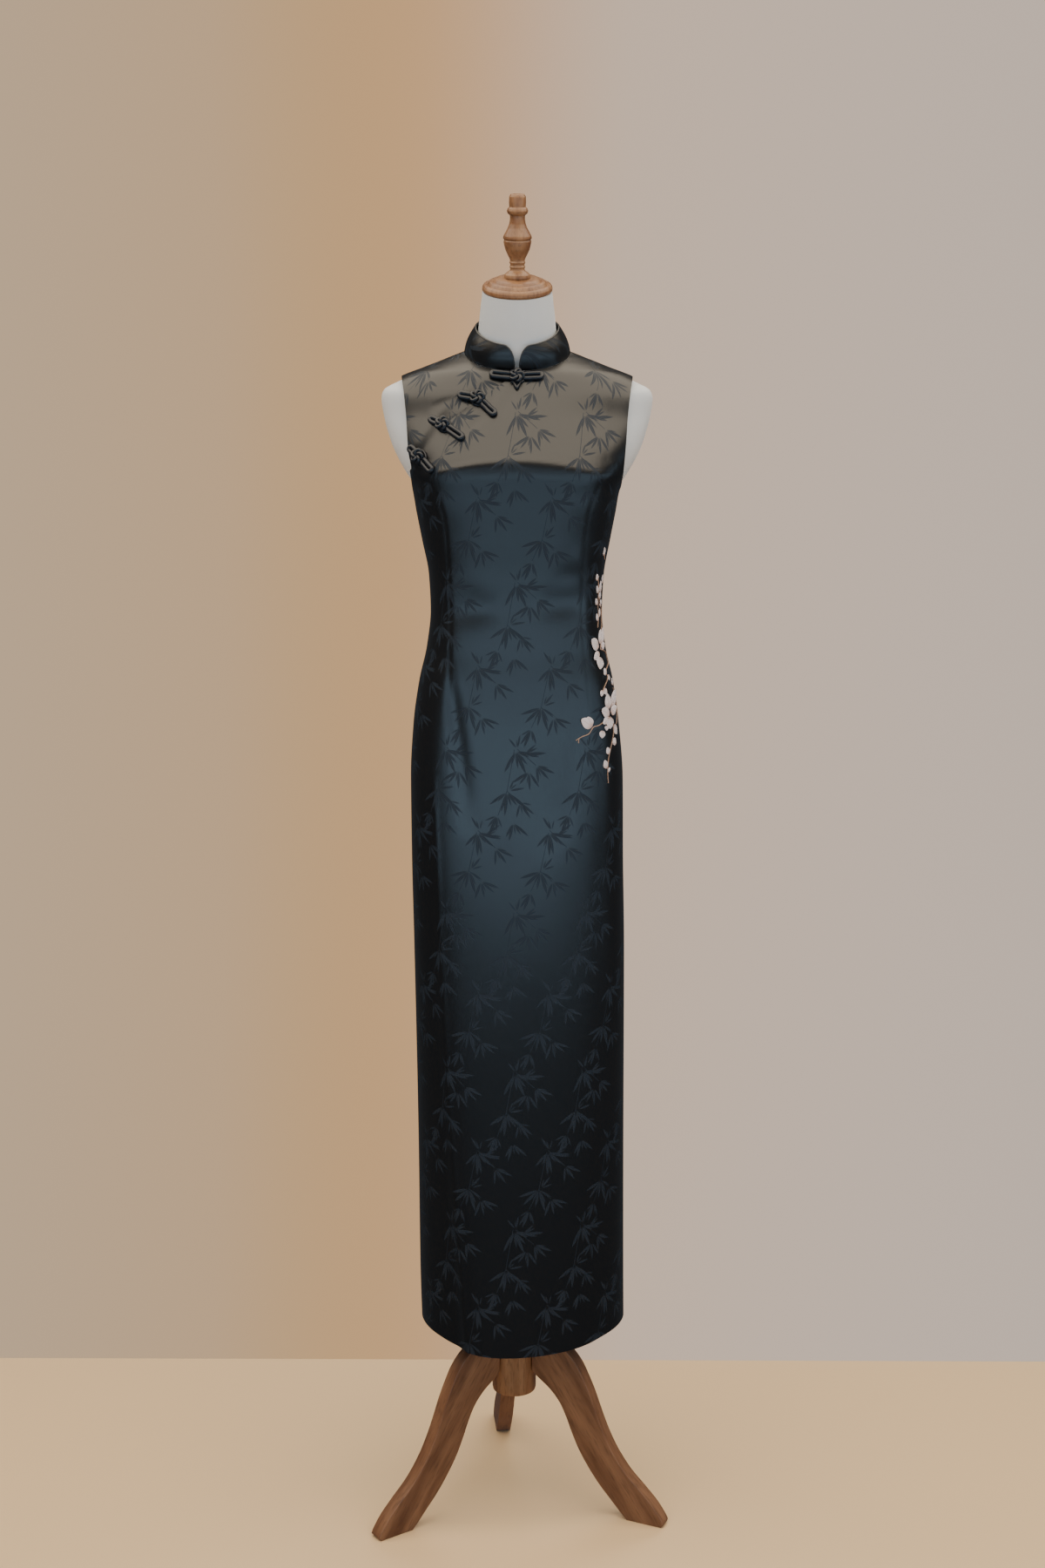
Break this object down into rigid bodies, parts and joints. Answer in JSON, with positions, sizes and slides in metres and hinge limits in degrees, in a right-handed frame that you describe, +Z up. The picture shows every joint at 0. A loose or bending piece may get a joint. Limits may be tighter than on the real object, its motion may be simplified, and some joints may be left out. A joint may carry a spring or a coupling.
{
  "type": "cheongsam dress on a dress form",
  "caption": "Floor-length sleeveless cheongsam with a stand-up collar and slanting frog closure, worn on a limbless dress form with a wooden neck cap and tripod stand.",
  "frame": {"origin": "on the floor, at the middle of the part's box", "axes": "+Z up along the stand, -Y out of the front of the dress, +X to the wearer's left"},
  "size_m": [0.4224, 0.3862, 1.8541],
  "materials": {
    "cloth": "satin jacquard",
    "binding": "satin",
    "cord": "satin cord",
    "linen": "plain weave",
    "wood": "satin varnish"
  },
  "bodies": {
    "root": {"dress_front": "cloth", "dress_underlap": "cloth", "dress_back": "cloth", "collar": "cloth", "collar_piping": "binding", "frog_1_button": "cord", "frog_1_loop": "cord", "frog_2_button": "cord", "frog_2_loop": "cord", "frog_3_button": "cord", "frog_3_loop": "cord", "frog_4_button": "cord", "frog_4_loop": "cord", "form_torso": "linen", "neck_cap": "wood", "finial": "wood", "pole": "wood", "hub": "wood", "leg_right": "wood", "leg_left": "wood", "leg_back": "wood"}
  },
  "joints": []
}
